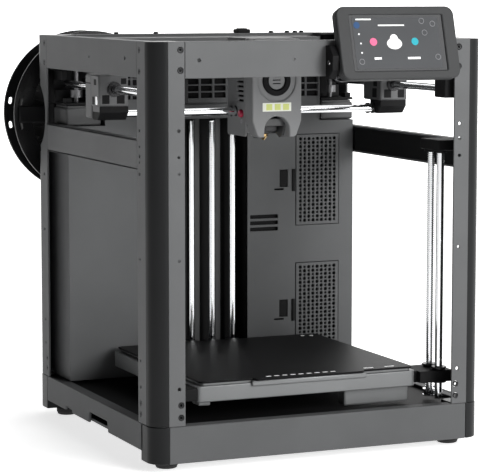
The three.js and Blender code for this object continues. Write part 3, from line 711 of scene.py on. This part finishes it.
def belt(tag, s):
    x = s * BELT_X
    outer, inner = [arc(x, PULLEY_Y, r, 0, 180, 12) + arc(x, IDLER_Y, r, 180, 360, 12) for r in (8.2, 6.9)]
    loop = sheet("top", outer, BELT_Z, [inner], 0.15)
    put(f"belt_{tag}_loop", loop, BELT, replaces=[f"belt_{tag}"])


def xy_motor(tag, s):
    can = side_boxes(s, ((131, 171), (104, 146), (322.4, 342), 2.2),
                     ((133, 169), (106, 144), (341, 344), 0.8))
    put(f"xy_motor_{tag}_can", can, GREY_PART, replaces=[f"xy_motor_{tag}"])
    profile = [(0.02, 344), (2.5, 344), (2.5, 352), (6.5, 352.2), (6.5, 360), (2.5, 360.2), (2.5, 384.5),
               (8.5, 384.7), (8.5, 386), (6.6, 386.3), (6.6, 393.6), (8.5, 394), (8.5, 395.2), (0.02, 395.2)]
    put(f"xy_motor_{tag}_pulley", turned("z", (s * BELT_X, PULLEY_Y), profile, 32), DULL)
    bracket = side_boxes(s, ((131, 171), (147, 172), (322.4, 345), 1.0),
                         ((150, 171), (147, 172), (345, 381), 1.0),
                         ((166, 171), (116, 146.5), (371, 381), 0.6),
                         ((131, 171), (140, 147), (345, 360), 0.6),
                         ((131, 140), (106, 140), (352, 372), 0.8),
                         ((131, 171), (104, 140), (344.4, 347), 0.5),
                         ((163, 170), (108, 118), (347, 352), 0.5))
    put(f"rod_{tag}_bracket", bracket, BLACK, replaces=[f"rod_bracket_{tag}"])


def build_gantry():
    for side in SIDES:
        gantry_block(*side)
        idler(*side)
        belt(*side)
        xy_motor(*side)


# ---------------------------------------------------------------- tool head
HEAD_LEFT, HEAD_RIGHT, HEAD_LOW = -18.0, 38.0, 315
BUTTON = (-16, 339)  # y and z of the release button


def build_head_shell():
    slots = [oblong((-21, -7 + 0.9 * i), (351.5 + i * 4.9, 353.7 + i * 4.9), 0.9) for i in range(6)]
    bores = [circle(y, z, BORE_R, 24) for _, y, z in X_RODS]
    side = oblong((-26, 22), (HEAD_LOW, 418), 3)
    holes = slots + bores + [circle(*BUTTON, 4.5, 20)]
    left = sheet("side", side, (HEAD_LEFT, HEAD_LEFT + 2), holes, 0.5)
    right = sheet("side", side, (HEAD_RIGHT - 2, HEAD_RIGHT), bores, 0.5)
    back = box((HEAD_LEFT + 0.6, HEAD_RIGHT - 0.6), (20, 22), (315.5, 417), 0.6)
    crown = box((HEAD_LEFT, HEAD_RIGHT), (-26, 22), (415.4, 418), 1.1)
    put("head_shell_body", joined(left, right, back, crown), HEAD, "head", ["head_shell"])
    liner = box((HEAD_LEFT + 2.4, HEAD_LEFT + 3.4), (-25, 19), (349, 380), 0.2)
    put("head_vent_liner", liner, BLACK, "head")


def build_head_cover():
    """The front cover, a rounded shell with a ring recess and an arch at its foot."""
    left_foot = arc(FAN_X - 19, 319, 4, 270, 200, 3)[2:]
    right_foot = arc(FAN_X + 19, 319, 4, -20, -90, 3)[:2]
    outline = ([(FAN_X - 14.5, HEAD_LOW), (FAN_X - 19, HEAD_LOW)] + left_foot + [(HEAD_LEFT, 332)]
               + arc(HEAD_LEFT + 6, 412, 6, 180, 90, 5) + arc(HEAD_RIGHT - 6, 412, 6, 90, 0, 5)
               + [(HEAD_RIGHT, 332)] + right_foot + [(FAN_X + 19, HEAD_LOW), (FAN_X + 14.5, HEAD_LOW)]
               + arc(FAN_X, 322.5, 14.2, 0, 180, 14))
    front = sheet("front", outline, (-45, -42.2), [circle(FAN_X, FAN_Z, 22, 45)], 1.2)
    middle = sheet("front", outline, (-42.6, -26.3), [circle(FAN_X, FAN_Z, 16.1, 32)], 0.4)
    put("head_front_cover", joined(front, middle), HEAD, "head", ["head_cover"])
    dish = [(16.2, -43.3), (21.6, -43.3), (21.8, -44.6), (22.2, -44.7), (22.2, -42), (16.2, -42)]
    put("head_dish", turned("y", (FAN_X, FAN_Z), dish, 56), HEAD, "head")
    collar = [(10.2, -43.8), (11, -44.6), (15.2, -44.6), (16, -43.6), (16, -40), (10.2, -40)]
    put("head_ring", turned("y", (FAN_X, FAN_Z), collar, 56), BLACK, "head")
    label = box((-6.6, 26), (-45.3, -44.8), (342, 351), 0.1)
    put("head_label_plate", label, LABEL, "head")
    tints = [box((-2.6 + i * 9.6, 4.2 + i * 9.6), (-45.42, -45.2), (343.3, 349.7), 0.05) for i in range(3)]
    put("head_label_tints", joined(*tints), LABEL_TINT, "head")


def build_fan(blades=9):
    wheel = [rod("y", (FAN_X, FAN_Z), (-42.6, -33), 6, 0.8, 28)]
    pitch = Matrix.Translation((0, -38, 0)) @ Matrix.Rotation(0.6, 4, "X") @ Matrix.Translation((0, 38, 0))
    for i in range(blades):
        blade = moved(box((5, 13.0), (-41.5, -34.5), (-0.5, 0.5), 0.2), pitch)
        wheel.append(spun(blade, FAN_X, FAN_Z, i * 2 * PI / blades))
    put("fan_wheel", joined(*wheel), BLACK, "fan", ["fan_rotor"])
    slots = [oblong((5.5, 14.5), (370.4 + i * 3.6, 371.4 + i * 3.6), 0.4) for i in range(3)]
    hub = sheet("front", circle(FAN_X, FAN_Z, 9.2, 40), (-43.8, -42.4), slots, 0.3)
    put("fan_hub_cap", hub, HEAD, "fan")


def build_hotend():
    core = boxes(((-13, 33), (-13, 19), (325, 390), 1.4), ((-8, 28), (-24, -13), (326, 360), 1.0))
    put("carriage_block", core, BLACK, "head", ["head_carriage"])
    hot = joined(box((0, 20), (-20, 0), (317.2, 324.4), 0.8), box((2, 18), (-27, -20), (320, 332), 0.8),
                 rod("x", (-24, 335), (0, 20), 3.2, 0.4, 24), box((-6, 2), (-36, -20), (318, 332), 1.5))
    put("hotend_block", hot, SCREW, "head", ["hotend"])
    profile = [(0.3, 310), (0.9, 310), (3.6, 313.4), (4.2, 314), (4.2, 317.3), (0.3, 317.3)]
    put("nozzle_tip", turned("z", (FAN_X, -10), profile, 24), BRASS, "head")
    side = [(-38, 330), (-12, 332), (-12, 318), (-22, 313), (-30, 316)]
    ducts = joined(*[sheet("side", side, x, edge=0.8) for x in ((-7, -2), (22, 27))],
                   box((-2, 22), (-36, -30), (326, 334), 0.8))
    put("fan_ducts", ducts, GREY_PART, "head")
    profile = [(0.01, -21), (3.0, -21), (3.9, -20.2), (4, -19.4), (4, -16.2), (0.01, -16.2)]
    button = turned("x", BUTTON, profile, 32, False)
    put("release_button_cap", button, RED, "button", ["release_button"])
    # The grey ring glows like the screen: painted brightness on plain print.
    mark = turned("x", (BUTTON[0], 330.5), tube(1.5, 2.1, HEAD_LEFT - 0.25, HEAD_LEFT + 0.2), 20)
    put("head_loop_mark", mark, GREY_GLOW, "head")


# ---------------------------------------------------------------- screen
SCREEN_X, SCREEN_H = (10.0, 141.0), 74.0
LEAN = Matrix.Translation((0, -203, 381)) @ Matrix.Rotation(math.radians(-16), 4, "X")
PIVOT = (-182, 397)  # y and z of the screen's hinge
UI_Y = (0.98, 1.25)  # how far the marks on the picture stand behind the case's front


def build_screen_case():
    left, right = SCREEN_X
    window = oblong((left + 14, right - 14), (8.5, SCREEN_H - 8.5), 1.0, 2)
    front = sheet("front", oblong(SCREEN_X, (0, SCREEN_H), 9, 8), (0, 3.4), [window], 1.4)
    outline = oblong((left + 0.5, right - 0.5), (0.5, SCREEN_H - 0.5), 8.6, 8)
    back = sheet("front", outline, (3.0, 12), (), 1.6)
    lugs = [sheet("side", rectangle((-188, -178.8), (393, 401)), (x, x + 6), [circle(*PIVOT, 2.5, 16)], 0.5)
            for x in (14, 129)]
    case = joined(moved(front, LEAN), moved(back, LEAN), *lugs)
    put("screen_case", case, HOUSING, "screen", ["screen_housing"])
    outline = oblong((left + 13.6, right - 13.6), (8.2, SCREEN_H - 8.2), 1.0, 2)
    pane = sheet("front", outline, (1.5, 2.9), (), 0.2)
    put("screen_pane", moved(pane, LEAN), GLASS, "screen", ["screen_panel"])
    picture = box((left + 17, right - 19), (1.28, 1.6), (10.5, SCREEN_H - 11), 0.05)
    put("screen_ui_back", moved(picture, LEAN), UI_BACK, "screen")


def ui_mark(name, mat, *parts):
    put(f"screen_ui_{name}", moved(joined(*parts), LEAN), mat, "screen")


def dot(x, z, r):
    return sheet("front", circle(x, z, r, 20), UI_Y, (), 0.05)


def build_screen_picture():
    """Plain dots, bars and rings in place of the interface."""
    ui_mark("pink", UI_PINK, dot(48, 38, 4.0))
    ui_mark("cyan", UI_CYAN, dot(94, 38, 3.9))
    ui_mark("blue", UI_BLUE, dot(31.5, 55, 3.4))
    blob = [(71 + 1.15 * (x - 71), 36 + 0.8 * (z - 36)) for x, z in arc(71, 36, 7.2, 135, 405, 24)]
    ui_mark("blob", WHITE_GLOW, sheet("front", blob + arc(71, 41.2, 4.4, 0, 180, 10), UI_Y, (), 0.05))
    bars = boxes(((47, 55), UI_Y, (20, 22.2), 0.05), ((84, 98), UI_Y, (20, 22.2), 0.05),
                 ((31, 48), UI_Y, (60.2, 61.6), 0.05), ((55, 84), UI_Y, (54, 55.4), 0.05))
    ui_mark("small", WHITE_GLOW, dot(33, 46, 0.9), dot(34, 36.5, 0.9), dot(34, 27, 0.9), bars)
    rings = [sheet("front", circle(x, z, 3.0, 16), UI_Y, [circle(x, z, 2.5, 16)], 0.03)
             for x, z in ((104, 59), (106, 47), (116, 56), (118, 22), (33, 18))]
    ui_mark("rings", GREY_GLOW, *rings)


def build_screen_mount():
    side = [(-178.1, 381), (-186, 381), (-194, 390), (-194, 404), (-186, 414), (-178.1, 414)]
    mount = joined(sheet("side", side, (2, 9.6), (), 0.9),
                   box((5, 146), (-180.4, -178.1), (PLATE_LOW, 390), 0.5),
                   box((142, 146), (-186, -178.1), (PLATE_LOW, 401), 0.5),
                   rod("x", PIVOT, (8, 23), 2, 0.3, 20), rod("x", PIVOT, (127, 143), 2, 0.3, 20))
    put("screen_mount", mount, BLACK, replaces=["screen_bracket"])
    put("screen_mount_screws", screw_head("x", (-186, 397), 2.0, -1, 2.4), STEEL)


# ---------------------------------------------------------------- reel
def placed(points, angle, radius):
    """Carries an outline drawn at the origin out to the radius, square to it, at the angle."""
    across = angle + PI / 2
    cx, cz = REEL_X + radius * math.cos(angle), REEL_Z + radius * math.sin(angle)
    c, s = math.cos(across), math.sin(across)
    return [(cx + x * c - z * s, cz + x * s + z * c) for x, z in points]


def build_reel_flanges():
    """Each flange has a pair of short slots near its rim at every quarter turn."""
    slots = []
    for quarter in range(4):
        for side in (-1, 1):
            slot = oblong((-3.8, 3.8), (-1.9, 1.9), 1.8, 4)
            slots.append(placed(slot, quarter * PI / 2 + side * 0.16, 84.5))
    outline = circle(REEL_X, REEL_Z, 91, 96)
    holes = [circle(REEL_X, REEL_Z, 70.5, 80), *slots]
    flanges = [sheet("front", outline, (y, y + 3), holes, 0.7) for y in (184.0, 221.0)]
    put("reel_flanges", joined(*flanges), REEL, "reel", ["reel"])


def build_reel_drum(ribs=24):
    axle = (REEL_X, REEL_Z)
    parts = [turned("y", axle, tube(70.2, 73.8, 184.6, 223.4), 96),
             turned("y", axle, tube(29.6, 70.4, 203, 205), 72),
             turned("y", axle, tube(26.6, 30, 188.2, 219.8), 56)]
    for k in range(ribs):
        angle = k * 2 * PI / ribs
        parts.append(spun(box((29.6, 70.4), (200, 208), (-0.9, 0.9), 0.3), *axle, angle))
        parts.append(spun(box((66.5, 70.5), (186, 222), (-0.9, 0.9), 0.3), *axle, angle + 0.13))
    put("reel_drum", joined(*parts), REEL_IN, "reel")


def build_reel_holder():
    profile = [(12, 182.6), (25.5, 182.6), (25.5, 224), (24.5, 225), (20, 225), (18, 222), (12, 222)]
    arm = joined(box((-199.4, -85), (178.2, 183), (322.5, 340.5), 1.2),
                 turned("y", (REEL_X, REEL_Z), profile, 56),
                 box((-150, -90), (178.2, 181), (300, 362), 1.5))
    put("reel_holder", arm, BLACK, replaces=["spool_holder"])
    heads = [screw_head("y", (x, z), 181.0, 1) for x in (-143, -97) for z in (308, 355)]
    put("reel_holder_screws", joined(*heads), SCREW)


# ---------------------------------------------------------------- stage, light and camera
def glowing_plane(name, surface, tone, strength, matrix):
    """A plane 2 m wide before the matrix, pale enough to read as paper."""
    bm = bmesh.new()
    bmesh.ops.create_grid(bm, x_segments=1, y_segments=1, size=1)
    moved(bm, matrix)
    mesh = bpy.data.meshes.new(name)
    bm.to_mesh(mesh)
    bm.free()
    paper = material(surface, (tone, tone, tone), 0.9, 0.0, 40, 0.0, 0.01, 0.05)
    glow(paper, (1, 1, 1), strength)
    mesh.materials.append(paper)
    o = bpy.data.objects.new(name, mesh)
    bpy.context.scene.collection.objects.link(o)


def build_stage():
    glowing_plane("floor", "pale_floor", 0.93, 0.7, Matrix.Diagonal((30, 30, 1, 1)))
    # a white screen far behind, square to the front-left view
    place = Matrix.Translation((1.9, 4.2, 1.6))
    turn = Matrix.Rotation(-0.4, 4, "Z") @ Matrix.Rotation(PI / 2, 4, "X")
    size = Matrix.Diagonal((4.2, 1.7, 1, 1))
    glowing_plane("backdrop", "white_backdrop", 0.9, 1.1, place @ turn @ size)


def lamp(name, place, aim, size, power):
    data = bpy.data.lights.new(name, "AREA")
    data.shape = "RECTANGLE"
    data.size, data.size_y = size
    data.energy = power
    o = bpy.data.objects.new(name, data)
    o.location = place
    o.rotation_euler = (Vector(aim) - Vector(place)).to_track_quat("-Z", "Y").to_euler()
    bpy.context.scene.collection.objects.link(o)


def build_light():
    world = bpy.data.worlds.new("studio")
    bpy.context.scene.world = world
    world.use_nodes = True
    n, links = world.node_tree.nodes, world.node_tree.links
    back = n["Background"]
    place = n.new("ShaderNodeTexCoord")
    split = n.new("ShaderNodeSeparateXYZ")
    links.new(place.outputs["Generated"], split.inputs["Vector"])
    ramp = n.new("ShaderNodeValToRGB")
    ramp.color_ramp.elements[0].position = 0.5
    ramp.color_ramp.elements[0].color = (0.015, 0.015, 0.015, 1)
    ramp.color_ramp.elements[1].position = 0.8
    ramp.color_ramp.elements[1].color = (1.0, 1.0, 1.0, 1)
    mixed = n.new("ShaderNodeMath")
    mixed.operation = "MULTIPLY_ADD"
    mixed.inputs[1].default_value = 0.5
    mixed.inputs[2].default_value = 0.5
    links.new(split.outputs["X"], mixed.inputs[0])
    links.new(mixed.outputs[0], ramp.inputs["Fac"])
    links.new(ramp.outputs["Color"], back.inputs["Color"])
    back.inputs["Strength"].default_value = 1.0
    lamp("key", (1.3, -2.7, 1.3), (0, 0, 0.2), (1.6, 1.6), 57)
    lamp("top", (0.6, 0.3, 2.4), (0, 0, 0.2), (1.2, 1.2), 6)
    lamp("inside", (0.9, -1.9, 0.7), (0.1, 0.1, 0.2), (0.5, 0.5), 8)


LENS, AZIMUTH, DIP = 166.47, math.radians(23.29), math.radians(6.43)
EYE = Vector((-0.94106, -2.15626, 0.47208))  # metres from the frame's own centre


def build_camera():
    data = bpy.data.cameras.new("camera")
    data.lens = LENS
    data.sensor_width = 36
    o = bpy.data.objects.new("camera", data)
    o.location = EYE + MOVE / 1000
    look = Vector((math.sin(AZIMUTH) * math.cos(DIP), math.cos(AZIMUTH) * math.cos(DIP), -math.sin(DIP)))
    o.rotation_euler = look.to_track_quat("-Z", "Y").to_euler()
    bpy.context.scene.collection.objects.link(o)
    bpy.context.scene.camera = o
    bpy.context.scene.view_settings.view_transform = "Standard"


build_camera()
build_skirt()
build_floor()
build_feet()
build_posts()
build_top_plates()
build_top_fittings()
build_rails()
build_rear_wall()
build_z_channel()
build_grilles()
build_back_cover()
build_inlet()
build_rods()
build_bed()
build_flex_plate()
build_gantry()
build_head_shell()
build_head_cover()
build_fan()
build_hotend()
build_screen_case()
build_screen_picture()
build_screen_mount()
build_reel_flanges()
build_reel_drum()
build_reel_holder()
build_stage()
build_light()
